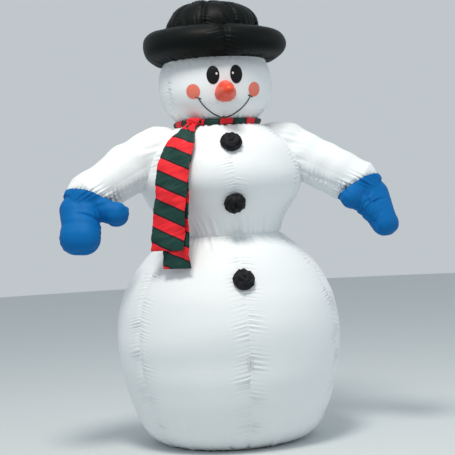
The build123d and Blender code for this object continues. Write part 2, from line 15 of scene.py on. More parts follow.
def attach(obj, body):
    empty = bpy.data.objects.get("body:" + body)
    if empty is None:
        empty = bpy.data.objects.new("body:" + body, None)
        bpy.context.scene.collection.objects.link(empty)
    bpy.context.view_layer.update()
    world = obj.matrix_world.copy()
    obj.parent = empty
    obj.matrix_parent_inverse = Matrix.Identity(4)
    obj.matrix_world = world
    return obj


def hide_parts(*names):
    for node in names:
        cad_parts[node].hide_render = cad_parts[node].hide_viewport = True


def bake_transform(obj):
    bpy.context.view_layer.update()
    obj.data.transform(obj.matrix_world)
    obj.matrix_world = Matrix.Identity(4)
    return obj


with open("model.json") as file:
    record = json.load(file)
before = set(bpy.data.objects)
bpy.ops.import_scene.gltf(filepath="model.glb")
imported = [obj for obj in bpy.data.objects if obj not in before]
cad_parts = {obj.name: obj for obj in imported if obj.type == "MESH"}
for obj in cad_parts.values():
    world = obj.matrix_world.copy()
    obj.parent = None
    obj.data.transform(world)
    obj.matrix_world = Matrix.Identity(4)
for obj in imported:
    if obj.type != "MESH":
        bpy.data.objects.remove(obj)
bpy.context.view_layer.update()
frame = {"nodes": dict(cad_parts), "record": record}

FRONT = -90.0  # azimuths are in degrees anticlockwise from +X, seen from above
REAR = 90.0
BALL_R = 0.620
BALL_Z = 0.600
WAIST_Z, WAIST_R = 1.1398, 0.305
NECK_Z, NECK_R = 1.745, 0.197
HAT_Z, HAT_R = 2.100, 0.283
CROWN_BASE_Z, CROWN_BASE_R = 2.272, 0.262
GORES = 6
CROWN_GORES = 9
FINE = 1  # how much coarser the meshes are while trying things


# ---------------------------------------------------------------- smooth random fields

WAVES = 6  # in each octave of a ridge field
WAVE_SIZE, WAVE_SHRINK = 1 / 2.2, 0.55  # of the first octave, and from one octave to the next
PLEAT_WAVES = ((0.63, 0.35), (1, 0.5), (1.37, 0.4), (1.9, 0.2))  # share of the count, and size


def ridge_field(period, seed, octaves=2):
    """A smooth random function of a length u and an angle v, about -1 to 1. Its ridges are about a period apart."""
    rng = np.random.default_rng(seed)
    waves = []
    for octave in range(octaves):
        for _ in range(WAVES):
            frequency = (0.6 + 0.8 * rng.random()) * 2**octave / period
            turns = rng.integers(-3, 4)
            phase = rng.random() * 2 * math.pi
            waves.append((frequency, turns, phase, WAVE_SIZE * WAVE_SHRINK**octave))

    def value(u, v):
        total = np.zeros(np.broadcast(u, v).shape)
        for frequency, turns, phase, size in waves:
            total += size * np.sin(2 * math.pi * frequency * u + turns * v + phase)
        return total

    return value


def pleat_field(count, seed):
    """Pleats of uneven width round a full turn: a periodic function of the azimuth in radians, about -1 to 1."""
    rng = np.random.default_rng(seed)
    waves = [(int(count * k), rng.random() * 2 * math.pi, size) for k, size in PLEAT_WAVES]

    def value(azimuth):
        return sum(size * np.sin(n * azimuth + phase) for n, phase, size in waves)

    return value


def fade(distance, reach):
    """1 at no distance, falling smoothly to nothing at reach."""
    t = np.clip(1 - np.abs(distance) / reach, 0, 1)
    return t * t * (3 - 2 * t)


def dip(distance, width):
    """1 at no distance, falling away on both sides like the cross-section of a seam."""
    return np.exp(-((distance / width) ** 2))


def angle_apart(a, b):
    return (a - b + math.pi) % (2 * math.pi) - math.pi


def full_turn(count):
    return np.linspace(0, 2 * math.pi, count, endpoint=False)


def unit(v):
    return np.asarray(v, float) / np.linalg.norm(v, axis=-1, keepdims=True)


def run_lengths(points):
    """How far along a line each of its points is."""
    return np.concatenate([[0], np.cumsum(np.linalg.norm(np.diff(points, axis=0), axis=1))])


# ---------------------------------------------------------------- meridians


def smooth_curve(points, step):
    """Points every step along a smooth curve through the given ones."""
    p = np.array(points, float)
    chord = run_lengths(p)
    slope = np.gradient(p, chord, axis=0)
    s = np.linspace(0, chord[-1], max(2, int(round(chord[-1] / step)) + 1))
    k = np.clip(np.searchsorted(chord, s, side="right") - 1, 0, len(chord) - 2)
    h = (chord[k + 1] - chord[k])[:, None]
    t = (s - chord[k])[:, None] / h
    return (
        (2 * t**3 - 3 * t**2 + 1) * p[k]
        + (t**3 - 2 * t**2 + t) * h * slope[k]
        + (3 * t**2 - 2 * t**3) * p[k + 1]
        + (t**3 - t**2) * h * slope[k + 1]
    )


def ball_meridian():
    """Radius and height from the edge of the base panel up to the waist."""
    flank_centre, flank_r = -0.5, 1.12
    low = [(0.372, 0.002), (0.440, 0.032), (0.490, 0.083)]
    flank = [(flank_centre + math.sqrt(flank_r**2 - (BALL_Z - z) ** 2), z) for z in np.linspace(0.14, 0.56, 8)]
    start = math.degrees(math.asin((WAIST_Z - BALL_Z) / BALL_R))
    upper = [
        (BALL_R * math.cos(math.radians(a)), BALL_Z + BALL_R * math.sin(math.radians(a)))
        for a in np.linspace(2, start, 12)
    ]
    return low + flank + upper


def torso_meridian():
    return [
        (WAIST_R, WAIST_Z), (0.345, 1.225), (0.385, 1.287), (0.424, 1.352), (0.446, 1.400), (0.455, 1.450),
        (0.436, 1.540), (0.400, 1.612), (0.350, 1.672), (0.300, 1.709), (0.250, 1.736), (NECK_R, NECK_Z),
    ]


def head_meridian():
    return [
        (NECK_R, NECK_Z), (0.240, 1.795), (0.272, 1.824), (0.293, 1.855), (0.309, 1.905), (0.315, 1.970),
        (0.309, 2.035), (HAT_R, HAT_Z),
    ]


def brim_meridian():
    return [
        (HAT_R, 2.1012), (0.315, 2.101), (0.346, 2.112), (0.384, 2.142), (0.400, 2.189), (0.385, 2.237),
        (0.340, 2.266),
        (CROWN_BASE_R, CROWN_BASE_Z),
    ]


def crown_meridian():
    return [
        (CROWN_BASE_R, CROWN_BASE_Z), (0.257, 2.315), (0.235, 2.360), (0.209, 2.392), (0.170, 2.415), (0.100, 2.432),
        (0.0005, 2.440),
    ]


PUCKER_LEAN = 0.22  # how far a pucker runs along its seam for each metre away from it
GATHER_LEAN = 0.6  # radians that a gather turns in each metre
GATHER_FULL_R = 0.12  # the radius under which the gathers shrink
PLAIN_END = 0.014  # near its ends a skin takes its plain form, so that it meets its neighbour
STILL_DEPTH = 0.0012  # how far a calm zone lies under the plain form
STILL_EDGE = 0.05


class Skin:
    """A body of revolution sewn from gores: each seam pinches in and gathers the cloth on both sides of it."""

    def __init__(self, meridian, seams, step=0.004, seam_depth=0.005, seam_width=0.022, pucker=0.003,
                 pucker_reach=0.075, pucker_pitch=0.026, gathers=(), bulge=0.0, drape=0.002, calm=(), seed=1):
        """Seams are azimuths, gathers (end, reach, size, count) and calm zones (azimuth, low, high, half width)."""
        self.curve = smooth_curve(meridian, step * FINE)
        self.length = run_lengths(self.curve)
        tangent = unit(np.gradient(self.curve, axis=0))
        self.normal = np.stack([tangent[:, 1], -tangent[:, 0]], axis=1)
        self.seams = [math.radians(a) for a in seams]
        self.seam_depth, self.seam_width = seam_depth, seam_width
        self.pucker, self.pucker_reach = pucker, pucker_reach
        self.puckers = [ridge_field(pucker_pitch, seed + 10 * i) for i in range(len(self.seams))]
        self.patches = [ridge_field(0.19, seed + 500 + 10 * i, 1) for i in range(len(self.seams))]
        ends = {"low": 0, "high": self.length[-1]}
        self.gathers = [(ends[end], reach, size, pleat_field(n, seed + n)) for end, reach, size, n in gathers]
        self.bulge, self.drape, self.calm = bulge, drape, calm
        self.broad = ridge_field(0.34, seed + 900, 2)

    def relief(self, s, azimuth, radius):
        """How far the skin stands out from its plain form, along the surface normal."""
        out = self.drape * self.broad(s, azimuth)
        nearest = np.full(np.broadcast(s, azimuth).shape, 9.0)
        for seam, pucker, patch in zip(self.seams, self.puckers, self.patches):
            side = angle_apart(azimuth, seam)
            across = np.abs(side) * radius
            nearest = np.minimum(nearest, across)
            out -= self.seam_depth * dip(across, self.seam_width)
            strength = 0.45 + 0.55 * np.clip(patch(s, np.sign(side)), -0.6, 1)
            shape = fade(across, self.pucker_reach) * np.clip(across / 0.006, 0.35, 1)
            out += self.pucker * strength * shape * pucker(s + PUCKER_LEAN * across, np.sign(side) * 0.9)
        if self.bulge:
            half_gore = math.pi * radius / len(self.seams) + 1e-6
            out += self.bulge * (np.clip(nearest / half_gore, 0, 1) ** 0.5 - 1)
        for at, reach, size, pleats in self.gathers:
            full = np.clip(radius / GATHER_FULL_R, 0, 1)
            out += size * fade(s - at, reach) * pleats(azimuth + GATHER_LEAN * (s - at)) * full
        out = out * np.clip(np.minimum(s, self.length[-1] - s) / PLAIN_END, 0, 1)
        height = np.interp(s, self.length, self.curve[:, 1])
        for middle, low, high, half_width in self.calm:
            away = np.abs(angle_apart(azimuth, math.radians(middle))) * radius
            beyond = np.clip(np.abs(height - (low + high) / 2) - (high - low) / 2, 0, None)
            still = np.clip(2 - away / half_width * 1.6, 0, 1) * fade(beyond, STILL_EDGE)
            out = out * (1 - still) - STILL_DEPTH * still
        return out

    def radii(self):
        """Heights in rising order and the radius at each, to look a radius up."""
        order = np.argsort(self.curve[:, 1])
        return self.curve[order, 1], self.curve[order, 0]

    def at(self, azimuth, height=None, s=None, lift=0.0):
        """Points of the skin at an azimuth in radians and a height, or a length along the meridian."""
        azimuth = np.asarray(azimuth, float)
        if s is None:
            order = np.argsort(self.curve[:, 1])
            s = np.interp(height, self.curve[order, 1], self.length[order])
        r, z, nr, nz = (np.interp(s, self.length, v) for v in (*self.curve.T, *self.normal.T))
        out = self.relief(s, azimuth, r) + lift
        return np.stack([(r + out * nr) * np.cos(azimuth), (r + out * nr) * np.sin(azimuth), z + out * nz], axis=-1)

    def mesh(self, name, around):
        s, a = np.meshgrid(self.length, full_turn(around // FINE), indexing="ij")
        return grid_object(name, self.at(a, s=s), wrap=True)


# ---------------------------------------------------------------- meshes


def linked(name, data):
    o = bpy.data.objects.new(name, data)
    bpy.context.scene.collection.objects.link(o)
    return o


def from_bmesh(name, mesh):
    data = bpy.data.meshes.new(name)
    mesh.to_mesh(data)
    mesh.free()
    return linked(name, data)


def new_object(name, vertices, faces):
    data = bpy.data.meshes.new(name)
    data.from_pydata([tuple(v) for v in vertices], [], [tuple(f) for f in faces])
    data.update()
    data.polygons.foreach_set("use_smooth", [True] * len(data.polygons))
    return linked(name, data)


def grid_faces(rows, columns, wrap):
    i, j = np.meshgrid(np.arange(rows - 1), np.arange(columns if wrap else columns - 1), indexing="ij")
    k = (j + 1) % columns
    faces = np.stack([i * columns + j, i * columns + k, (i + 1) * columns + k, (i + 1) * columns + j], axis=-1)
    return faces.reshape(-1, 4).tolist()


def grid_object(name, points, wrap=False, uv=None):
    """A mesh from points[row, column]; wrap joins the last column to the first."""
    rows, columns = points.shape[:2]
    o = new_object(name, points.reshape(-1, 3), grid_faces(rows, columns, wrap))
    if uv is not None:
        layer = o.data.uv_layers.new(name="cloth")
        corner = np.zeros(len(o.data.loops), int)
        o.data.loops.foreach_get("vertex_index", corner)
        layer.data.foreach_set("uv", uv.reshape(-1, 2)[corner].astype(np.float32).ravel())
    return o


def sweep(name, path, radius, sides=10, closed=False):
    """A round cord along a path; radius is one value or one for each point."""
    path = np.asarray(path, float)
    along = np.roll(path, -1, axis=0) - np.roll(path, 1, axis=0) if closed else np.gradient(path, axis=0)
    tangent = unit(along)
    side = np.cross(tangent, [0, 0, 1.0])
    weak = np.linalg.norm(side, axis=1) < 0.2
    side[weak] = np.cross(tangent[weak], [0, 1.0, 0])
    side = unit(side)
    up = np.cross(side, tangent)
    turn = full_turn(sides)[None, :, None]
    r = np.broadcast_to(np.asarray(radius, float), len(path))[:, None, None]
    points = path[:, None] + r * (side[:, None] * np.cos(turn) + up[:, None] * np.sin(turn))
    faces = grid_faces(len(path), sides, True)
    last = (len(path) - 1) * sides
    if closed:
        faces += [(last + j, last + (j + 1) % sides, (j + 1) % sides, j) for j in range(sides)]
    else:
        faces += [tuple(range(sides))[::-1], tuple(last + j for j in range(sides))]
    return new_object(name, points.reshape(-1, 3), faces)


def join(name, parts):
    """One object from several, with their materials kept."""
    bpy.ops.object.select_all(action="DESELECT")
    for o in parts:
        o.select_set(True)
    bpy.context.view_layer.objects.active = parts[0]
    bpy.ops.object.join()
    parts[0].name = name
    return parts[0]


# ---------------------------------------------------------------- finishes

FINISHES = {}  # each finish's material, by its name


class Finish:
    """A procedural material made a few nodes at a time, and kept in FINISHES."""

    def __init__(self, name):
        self.material = FINISHES[name] = bpy.data.materials.new(name)
        self.material.use_nodes = True
        self.nodes, self.links = self.material.node_tree.nodes, self.material.node_tree.links
        self.shader = self.nodes["Principled BSDF"]

    def node(self, kind, **inputs):
        n = self.nodes.new(kind)
        for key, value in inputs.items():
            if hasattr(n, key):
                setattr(n, key, value)
            else:
                self.feed(n.inputs[key.replace("_", " ")], value)
        return n

    def feed(self, socket, value):
        if isinstance(value, bpy.types.NodeSocket):
            self.links.new(value, socket)
        else:
            socket.default_value = value

    def set(self, **inputs):
        for key, value in inputs.items():
            self.feed(self.shader.inputs[key.replace("_", " ")], value)

    def place(self):
        return self.node("ShaderNodeTexCoord").outputs["Object"]

    def noise(self, scale, detail=5.0, roughness=0.6):
        n = self.node("ShaderNodeTexNoise", Vector=self.place(), Scale=scale, Detail=detail, Roughness=roughness)
        return n.outputs["Fac"]

    def wave(self, scale, direction):
        n = self.node("ShaderNodeTexWave", Vector=self.place(), Scale=scale)
        n.bands_direction = direction
        return n.outputs["Fac"]

    def mixed(self, factor, low, high):
        n = self.node("ShaderNodeMix", data_type="RGBA")
        for socket, value in ((n.inputs["Factor"], factor), (n.inputs[6], (*low, 1)), (n.inputs[7], (*high, 1))):
            self.feed(socket, value)
        return n.outputs[2]

    def between(self, factor, low, high):
        n = self.node("ShaderNodeMapRange", Value=factor)
        n.inputs["To Min"].default_value, n.inputs["To Max"].default_value = low, high
        return n.outputs["Result"]

    def maths(self, operation, *terms):
        n = self.node("ShaderNodeMath", operation=operation)
        for socket, term in zip(n.inputs, terms):
            self.feed(socket, term)
        return n.outputs[0]

    def bump(self, height, strength, distance):
        n = self.node("ShaderNodeBump", Height=height, Strength=strength, Distance=distance)
        self.links.new(n.outputs["Normal"], self.shader.inputs["Normal"])


STRIPE_PITCH = 0.076
STRIPE_SLANT = -0.42
WEAVE_SHARE = 0.04  # of the small creases' height


def nylon(name, shade, dark, rough=0.42, sheen=0.15, weave=1100.0, crinkle=0.25, gloss=0.5):
    """Thin coated nylon: faint mottling, a fine square weave and small creases between the large ones."""
    f = Finish(name)
    mottle = f.noise(5.0)
    crease = f.noise(48.0, 6.0, 0.62)
    f.set(Base_Color=f.mixed(f.between(mottle, 0.1, 0.9), dark, shade))
    f.set(Roughness=f.between(crease, rough - 0.06, rough + 0.1), Sheen_Weight=sheen, Specular_IOR_Level=gloss)
    threads = f.maths("MULTIPLY", f.maths("ADD", f.wave(weave, "X"), f.wave(weave, "Z")), WEAVE_SHARE)
    f.bump(f.maths("ADD", crease, threads), crinkle, 0.0025)


def plain(name, shade, rough, metal=0.0, grain=90.0, dents=0.08, speck=0.88):
    """Moulded or plated material with a slightly uneven colour, polish and surface."""
    f = Finish(name)
    field = f.noise(grain)
    low = tuple(c * speck for c in shade)
    f.set(Base_Color=f.mixed(field, low, shade), Roughness=f.between(field, rough - 0.05, rough + 0.07))
    f.set(Metallic=metal)
    f.bump(field, dents, 0.0008)


def striped(name, red, green, line):
    """Scarf cloth: broad slanted stripes run along the sheet's own length, with a thin dark line where they meet."""
    f = Finish(name)
    uv = f.node("ShaderNodeUVMap", uv_map="cloth").outputs["UV"]
    split = f.node("ShaderNodeSeparateXYZ", Vector=uv)
    slanted = f.maths("MULTIPLY_ADD", split.outputs["X"], STRIPE_SLANT, split.outputs["Y"])
    ramp = f.node("ShaderNodeValToRGB", Fac=f.maths("FRACT", f.maths("DIVIDE", slanted, 2 * STRIPE_PITCH)))
    ramp.color_ramp.interpolation = "CONSTANT"
    stops = ramp.color_ramp.elements
    stops[1].position = 0.03
    for position in (0.47, 0.53, 0.97):
        stops.new(position)
    for stop, colour in zip(stops, (line, red, line, green, line)):
        stop.color = (*colour, 1)
    crease = f.noise(60.0)
    f.set(Base_Color=ramp.outputs["Color"], Roughness=f.between(crease, 0.45, 0.65), Specular_IOR_Level=0.25)
    f.bump(crease, 0.3, 0.002)


SCARF_RED = (0.78, 0.018, 0.028)

nylon("white_nylon", (0.86, 0.885, 0.89), (0.80, 0.835, 0.85), rough=0.5, gloss=0.3, crinkle=0.45)
nylon("black_nylon", (0.0055, 0.0072, 0.0068), (0.003, 0.004, 0.004), rough=0.46, sheen=0.0, gloss=0.10, crinkle=0.4)
nylon("black_nylon_base", (0.020, 0.021, 0.022), (0.012, 0.012, 0.013), rough=0.6, weave=700.0)
nylon("blue_nylon", (0.001, 0.150, 0.45), (0.0005, 0.110, 0.35), rough=0.55, sheen=0.0, gloss=0.12, crinkle=0.4)
nylon("eye_black", (0.006, 0.006, 0.008), (0.004, 0.004, 0.005), rough=0.38, sheen=0.0, gloss=0.25)
nylon("eye_white", (0.85, 0.85, 0.83), (0.78, 0.78, 0.77))
nylon("cheek_salmon", (0.84, 0.20, 0.13), (0.76, 0.16, 0.10), rough=0.5)
nylon("mouth_black", (0.03, 0.012, 0.014), (0.02, 0.008, 0.01), rough=0.45)
nylon("nose_orange", (0.86, 0.065, 0.012), (0.74, 0.045, 0.010))
nylon("button_black", (0.012, 0.012, 0.015), (0.006, 0.006, 0.008), rough=0.6, sheen=0.0, gloss=0.2, crinkle=0.5)
nylon("scarf_red", SCARF_RED, (0.60, 0.018, 0.026), rough=0.45)
nylon("scarf_green", (0.014, 0.062, 0.048), (0.008, 0.040, 0.032), rough=0.45)
striped("scarf_stripes", SCARF_RED, (0.008, 0.046, 0.036), (0.012, 0.010, 0.012))
plain("grey_plastic", (0.16, 0.17, 0.18), 0.48)
plain("black_plastic", (0.018, 0.018, 0.020), 0.42)
plain("black_rubber", (0.015, 0.015, 0.016), 0.68)
plain("zinc_steel", (0.62, 0.63, 0.64), 0.3, metal=1.0, grain=240.0)
plain("brass_eyelet", (0.76, 0.55, 0.24), 0.27, metal=1.0, grain=200.0)
plain("zip_tape", (0.80, 0.81, 0.81), 0.8, grain=900.0, dents=0.3)
plain("zip_teeth", (0.74, 0.75, 0.76), 0.38)
plain("webbing", (0.035, 0.036, 0.04), 0.75, grain=1200.0, dents=0.4)
plain("bulb_glass", (0.90, 0.84, 0.66), 0.12, grain=40.0)


def finish_in(o, finish):
    """Puts the finish of the given name on a piece, in place of its materials."""
    o.data.materials.clear()
    o.data.materials.append(FINISHES[finish])


def fixed(o, body, finish, *stands_for, slot=None):
    """A finished piece that moves with one CAD body, in place of the CAD nodes named."""
    finish_in(o, finish)
    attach(o, body)
    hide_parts(*stands_for)


# ---------------------------------------------------------------- body, head and hat


def gore_seams(first, count):
    return [first + i * 360 / count for i in range(count)]


BLOWER_Z = 0.205
COLLAR_R, COLLAR_OVERLAP = 0.080, 0.003
BLOWER_ZONE = (REAR, 0.09, 0.32, 0.12)  # where the ball's skin lies smooth, as a calm zone
ZIP_ZONE = (REAR, 0.66, 1.04, 0.05)
TETHER_ZONES = [(azimuth, 1.40, 1.50, 0.06) for azimuth in (50, 130)]
HEAD_SEAM = 65  # degrees from the front

ball = Skin(
    ball_meridian(), gore_seams(FRONT, GORES), pucker_reach=0.125, pucker_pitch=0.019, drape=0.0016, seed=11,
    gathers=[("high", 0.16, 0.0055, 46), ("low", 0.12, 0.004, 60), ("low", 0.30, 0.0025, 28)],
    calm=[ZIP_ZONE, BLOWER_ZONE],
)
torso = Skin(
    torso_meridian(), gore_seams(FRONT, GORES), pucker=0.0028, pucker_reach=0.10, pucker_pitch=0.019, drape=0.0018,
    gathers=[("low", 0.17, 0.0065, 40), ("high", 0.17, 0.004, 36)], calm=TETHER_ZONES, seed=23,
)
head = Skin(
    head_meridian(), [FRONT + HEAD_SEAM, FRONT - HEAD_SEAM, REAR], pucker_reach=0.055, pucker_pitch=0.022,
    gathers=[("low", 0.10, 0.006, 38), ("high", 0.07, 0.003, 44)], drape=0.0015, seed=37,
)
brim = Skin(
    brim_meridian(), [FRONT, REAR], seam_depth=0.013, seam_width=0.016, pucker=0.006, pucker_reach=0.12,
    pucker_pitch=0.03, gathers=[("low", 0.10, 0.0035, 40), ("high", 0.13, 0.0045, 38)], drape=0.006, seed=41,
)
crown = Skin(
    crown_meridian(), gore_seams(FRONT + 180 / CROWN_GORES, CROWN_GORES), seam_depth=0.009, seam_width=0.014,
    pucker=0.004, pucker_reach=0.05, pucker_pitch=0.024, gathers=[("low", 0.09, 0.004, 36)], bulge=0.004,
    drape=0.003, seed=53,
)


def open_round(o, axis_height, radius):
    """Opens a skin behind, where a round collar passes through it."""
    cut = bmesh.new()
    cut.from_mesh(o.data)
    gone = [v for v in cut.verts if v.co.y > 0 and math.hypot(v.co.x, v.co.z - axis_height) < radius]
    bmesh.ops.delete(cut, geom=gone, context="VERTS")
    cut.to_mesh(o.data)
    cut.free()


for name, skin, around, slot, node in (
    ("ball_skin", ball, 760, "white_nylon", "lower_ball_gores"),
    ("torso_skin", torso, 640, "white_nylon", "torso_gores"),
    ("head_skin", head, 520, "white_nylon", "head_panels"),
    ("hat_brim_skin", brim, 560, "black_nylon", "hat_brim"),
    ("hat_crown_skin", crown, 432, "black_nylon", "hat_crown"),
):
    piece = skin.mesh(name, around)
    if skin is ball:
        open_round(piece, BLOWER_Z, COLLAR_R - COLLAR_OVERLAP)
    fixed(piece, "figure", slot, node)


# ---------------------------------------------------------------- face

HEAD_R = 0.314
EYE_AZIMUTH, EYE_Z, EYE_W, EYE_H = 11.6, 2.000, 0.066, 0.095
CHEEK_AZIMUTH, CHEEK_Z, CHEEK_D = 32.5, 1.920, 0.076
HIGHLIGHT_D, HIGHLIGHT_IN, HIGHLIGHT_UP = 0.011, 0.020, 0.006
MOUTH_AZIMUTH, MOUTH_TOP, MOUTH_LOW = 27.8, 1.884, 1.780
SMILE_ROUND = 0.86  # towards 1 the smile is a half oval, towards 0 a shallow arc
MOUTH_R, MOUTH_LIFT = 0.0035, 0.0012
TICK, TICK_LEAN = 0.032, 0.35
STITCH_R, STITCHES = 0.0016, 36


def on_head(azimuth, height, across, up, lift):
    """Points of the head that are across and up from the one at an azimuth in degrees and a height."""
    radius = np.interp(height + up, *head.radii())
    return head.at(math.radians(azimuth) + across / radius, height=height + up, lift=lift)


def round_patch(name, azimuth, height, outline, puff, rings=14, sides=72, sewn=0.0006):
    """A cloth patch on the head. outline(angle) is its edge as (across, up) from its middle."""
    share = np.linspace(0, 1, rings)[:, None] ** 0.8
    edge = np.array([outline(a) for a in full_turn(sides)])
    lift = sewn + puff * np.sqrt(np.clip(1 - share**4, 0, 1))
    return grid_object(name, on_head(azimuth, height, share * edge[:, 0], share * edge[:, 1], lift), wrap=True)


def sewn_patch(name, azimuth, height, outline, puff):
    """A patch and the satin stitching round it, as one piece."""
    cloth = round_patch(f"{name}_cloth", azimuth, height, outline, puff)
    angle = full_turn(4 * STITCHES)
    edge = np.array([outline(a) for a in angle])
    path = on_head(azimuth, height, edge[:, 0], edge[:, 1], 0.0008)
    cord_r = STITCH_R * (1 + 0.18 * np.sin(angle * STITCHES))
    return join(f"{name}_patch", [cloth, sweep(f"{name}_stitching", path, cord_r, sides=8, closed=True)])


def oval(width, height):
    return lambda a: (0.5 * width * math.cos(a), 0.5 * height * math.sin(a))


highlights = []
for side, word in ((1, "left"), (-1, "right")):
    eye = sewn_patch(f"{word}_eye", FRONT + side * EYE_AZIMUTH, EYE_Z, oval(EYE_W, EYE_H), 0.0022)
    fixed(eye, "figure", "eye_black", f"{word}_eye")
    cheek = sewn_patch(f"{word}_cheek", FRONT + side * CHEEK_AZIMUTH, CHEEK_Z, oval(CHEEK_D, CHEEK_D), 0.0020)
    fixed(cheek, "figure", "cheek_salmon", f"{word}_cheek")
    azimuth = FRONT + side * (EYE_AZIMUTH - math.degrees(HIGHLIGHT_IN / HEAD_R))
    spot, spot_z = oval(HIGHLIGHT_D, HIGHLIGHT_D * 1.15), EYE_Z + HIGHLIGHT_UP
    highlights.append(round_patch(f"{word}_dot", azimuth, spot_z, spot, 0.0012, rings=6, sides=32, sewn=0.0030))
fixed(join("eye_highlight_patches", highlights), "figure", "eye_white", "eye_highlights")

share = np.linspace(-1, 1, 90)
rise = (1 - np.sqrt(1 - SMILE_ROUND * share**2)) / (1 - math.sqrt(1 - SMILE_ROUND))
smile_height = MOUTH_LOW + (MOUTH_TOP - MOUTH_LOW) * rise
smile = head.at(np.radians(FRONT + MOUTH_AZIMUTH * share), height=smile_height, lift=MOUTH_LIFT)
strokes = [sweep("smile", smile, MOUTH_R * (1 - 0.25 * np.abs(share) ** 6))]
along = np.linspace(-0.5, 0.5, 12) * TICK
for side in (-1, 1):
    tick_azimuth = np.radians(FRONT + side * MOUTH_AZIMUTH) + along * math.cos(TICK_LEAN) / HEAD_R
    tick_height = MOUTH_TOP - along * math.sin(TICK_LEAN)
    strokes.append(sweep("tick", head.at(tick_azimuth, height=tick_height, lift=MOUTH_LIFT), MOUTH_R))
fixed(join("mouth_stitched_line", strokes), "figure", "mouth_black", "mouth_line")


# ---------------------------------------------------------------- nose and buttons

NOSE_Z, NOSE_R, NOSE_ROOT_Y, NOSE_TIP_Y = 1.910, 0.058, -0.281, -0.447
NOSE_BLUNT = 0.82  # the share of the nose's length where its tip starts to round off
NOSE_CORNER = 0.07
BUTTON_R, BUTTON_H = 0.060, 0.044
BUTTON_TURN = 0.60 * math.pi  # how far the cloth curls round the wadding, from the middle to its hidden edge
BUTTONS = (  # radius and height of its foot, how far it tips up in degrees, and its seed
    ("top", 0.386, 1.630, 38, 5),
    ("middle", 0.403, 1.315, -31, 6),
    ("bottom", 0.5375, 0.909, 30, 8),
)


def puffed_cone(name, sides=96, rows=70, seed=3):
    """The nose: a stuffed cone with three soft corners, gathered at its root."""
    creases = pleat_field(17, seed)
    v = np.linspace(0, 1, rows)[:, None]
    a = full_turn(sides)[None, :]
    past = np.clip((v - NOSE_BLUNT) / (1 - NOSE_BLUNT), 0, None)
    cone = (1 - 0.62 * v**1.35) * np.sqrt(np.clip(1 - past**2, 0, 1))
    belly = 1 + 0.05 * np.sin(math.pi * np.clip(v * 1.6, 0, 1))
    corners = 1 + NOSE_CORNER * np.cos(3 * (a - math.pi / 2)) * (1 - v)
    r = NOSE_R * cone * belly * corners + 0.0016 * creases(a) * fade(v, 0.45)
    y = NOSE_ROOT_Y + (NOSE_TIP_Y - NOSE_ROOT_Y) * v + 0 * a
    return grid_object(name, np.stack([r * np.cos(a), y, NOSE_Z + r * np.sin(a)], axis=-1), wrap=True)


nose = puffed_cone("nose_puff")
fixed(nose, "figure", "nose_orange", "nose_cone")


def gathered_puff(name, place, seed, rings=44, sides=132):
    """A button: a disc of cloth gathered over wadding. place takes its foot from the origin, with +Z outwards."""
    broad, middling, fine = (pleat_field(n, seed + n) for n in (9, 17, 31))
    lumps = ridge_field(0.9, seed + 77)
    rho = np.linspace(0, 1, rings)[:, None]
    a = full_turn(sides)[None, :]
    bend = rho * BUTTON_TURN
    edge = np.clip(rho - 0.25, 0, 1)
    rim = 1 + 0.035 * broad(a) + 0.02 * middling(a)
    r = BUTTON_R * 0.965 * rim * np.sin(bend) + 0.0022 * fine(a) * edge
    h = BUTTON_H * (0.235 + 0.765 * np.cos(bend))
    h = h + (0.0045 * broad(a) + 0.0035 * middling(a) + 0.0022 * fine(a)) * edge
    h = np.minimum(h + 0.003 * lumps(rho * 2, a), BUTTON_H + 0.003)
    o = grid_object(name, np.stack([r * np.cos(a), r * np.sin(a), h], axis=-1), wrap=True)
    o.data.transform(place)
    return o


def facing_out(radius, height, tilt):
    """A frame on the front meridian at a radius and height, its +Z leaning tilt degrees up from straight ahead."""
    t = math.radians(tilt)
    out = Vector((0, -math.cos(t), math.sin(t)))
    across = Vector((1, 0, 0))
    rotation = Matrix((across, out.cross(across), out)).transposed().to_4x4()
    return Matrix.Translation(Vector((0, -radius, height))) @ rotation


for word, radius, height, tilt, seed in BUTTONS:
    puff = gathered_puff(f"{word}_button_puff", facing_out(radius, height, tilt), seed)
    fixed(puff, "figure", "button_black", f"{word}_button")


# ---------------------------------------------------------------- arms and mittens

SHOULDER = np.array([0.300, 0.0, 1.625])
WRIST = np.array([0.765, -0.160, 1.378])
CUFF_NORMAL = unit([0.40, -0.35, -0.85])
SLEEVE_R = 0.1250
SLEEVE_START, SLEEVE_FULL = -0.125, 0.10  # along the arm, where the sleeve's rounded head starts and is full
SLEEVE_SEAM = math.radians(128)  # turned from the top of the sleeve towards the front
SHOULDER_FLARE, FLARE_END = 0.034, 0.52
CUFF_TAPER = 0.50  # how fast the sleeve and mitten draw in past the wrist, at the cuff's long side
ARM_LENGTH = float(np.linalg.norm(WRIST - SHOULDER))
ARM = (WRIST - SHOULDER) / ARM_LENGTH
FORWARD = np.array([0, -1.0, 0])
AHEAD = unit(FORWARD - ARM * np.dot(FORWARD, ARM))
ABOVE = np.cross(AHEAD, ARM)
FINGER_SPREAD = 0.020
PALM_R = 0.088
HANDS = {  # each side's reach of the fingers and thumb, and the radii of the fingertips, the thumb and the web
    1: (np.array([0.092, -0.118, -0.222]), np.array([-0.092, -0.116, -0.070]), 0.068, 0.062, 0.050),
    -1: (np.array([0.048, -0.112, -0.209]), np.array([-0.150, -0.100, -0.090]), 0.090, 0.070, None),
}
CREASES = ((np.array([0.110, 0, 0.036]), 0.0120), (np.array([0.016, 0, 0.068]), 0.0075))  # reach and depth
CREASE_WIDTH, SEAM_WIDTH = 0.0075, 0.009


def mirrored(points, side):
    return points * np.array([side, 1, 1])


def cuff_reach(spoke, radius):
    """How far along the arm the cuff's plane is, on a line beside it at a radius in the direction of spoke."""
    return ((WRIST - SHOULDER - radius * spoke) @ CUFF_NORMAL) / (ARM @ CUFF_NORMAL)


